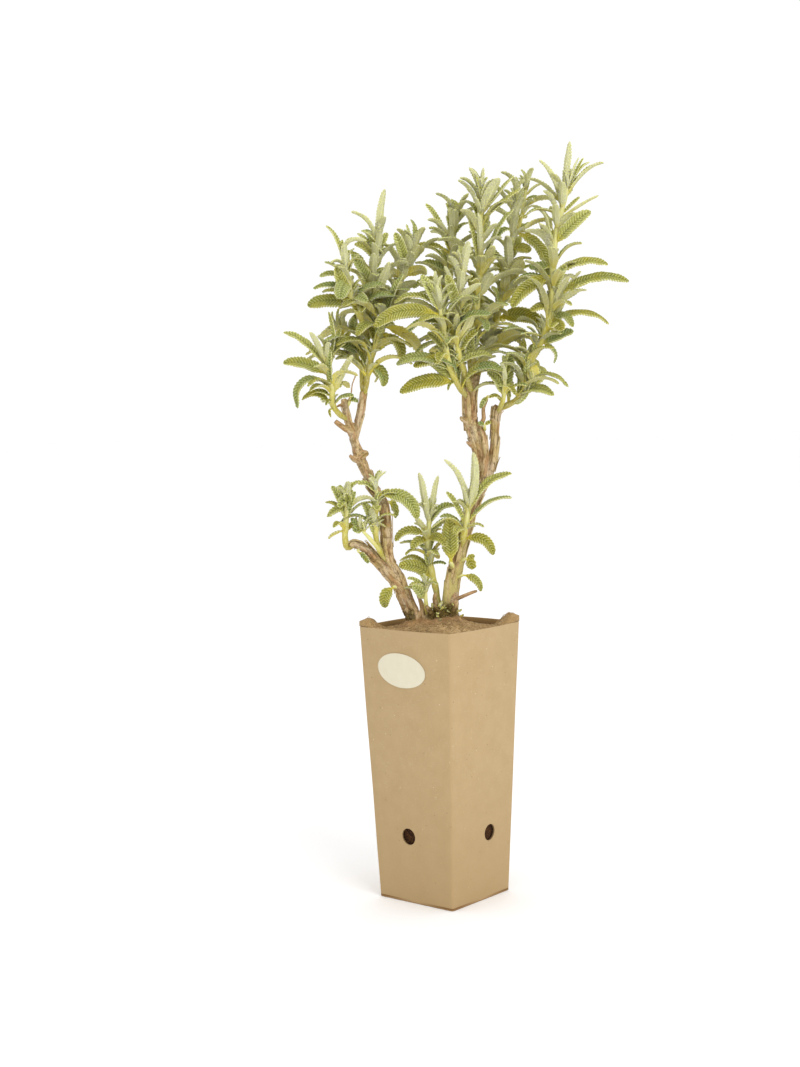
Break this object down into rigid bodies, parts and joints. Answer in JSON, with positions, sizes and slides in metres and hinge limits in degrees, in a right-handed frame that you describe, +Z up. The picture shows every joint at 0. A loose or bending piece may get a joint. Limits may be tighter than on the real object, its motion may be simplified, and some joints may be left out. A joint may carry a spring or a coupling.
{
  "type": "potted phlomis",
  "caption": "Young shrubby phlomis with felted grey-green leaves on bare woody trunks, in a deep square folded-card pot with a fibre mat over its soil.",
  "frame": {"origin": "centre of the pot's flat underside", "axes": "+Z up along the pot's height; -Y out of the pot's labelled wall; +X out of the wall beside it, seen on the right in the picture"},
  "size_m": [0.2003, 0.1839, 0.5853],
  "materials": {
    "card": "uncoated brown kraft card with small flecks",
    "label": "matt uncoated paper sticker, bare",
    "soil": "dark peat-free compost bound by roots",
    "fibre_mat": "needled jute and wood-fibre mat",
    "bark": "tan bark in flaking strips with dark cracks",
    "leaf": "woolly grey-green leaves with pale margins"
  },
  "bodies": {
    "root": {"card_pot": "card", "label": "label", "root_ball": "soil", "mulch_mat": "fibre_mat", "woody_stems": "bark", "low_branch_shoot": "leaf", "trunk_fork_shoot": "leaf", "under_branch_leaf": "leaf", "left_trunk_shoot": "leaf", "right_bud_leaf": "leaf", "low_trunk_leaf": "leaf", "stool_shoot": "leaf", "centre_shoot": "leaf", "right_trunk_facing_leaf": "leaf", "right_low_bud": "leaf", "right_low_leaf": "leaf", "right_young_shoot": "leaf", "left_crown_low_shoot": "leaf", "left_fork_leaves": "leaf", "left_crown_main_shoot": "leaf", "left_crown_outer_shoot": "leaf", "left_crown_side_shoot": "leaf", "left_crown_inner_shoot": "leaf", "middle_crown_front_shoot": "leaf", "middle_crown_back_shoot": "leaf", "middle_crown_near_shoot": "leaf", "middle_crown_main_shoot": "leaf", "middle_crown_right_shoot": "leaf", "crown_star_shoot": "leaf", "right_trunk_shoot": "leaf", "strand_sprout": "leaf", "twig_tip_leaves": "leaf", "right_crown_shoot": "leaf"}
  },
  "joints": []
}
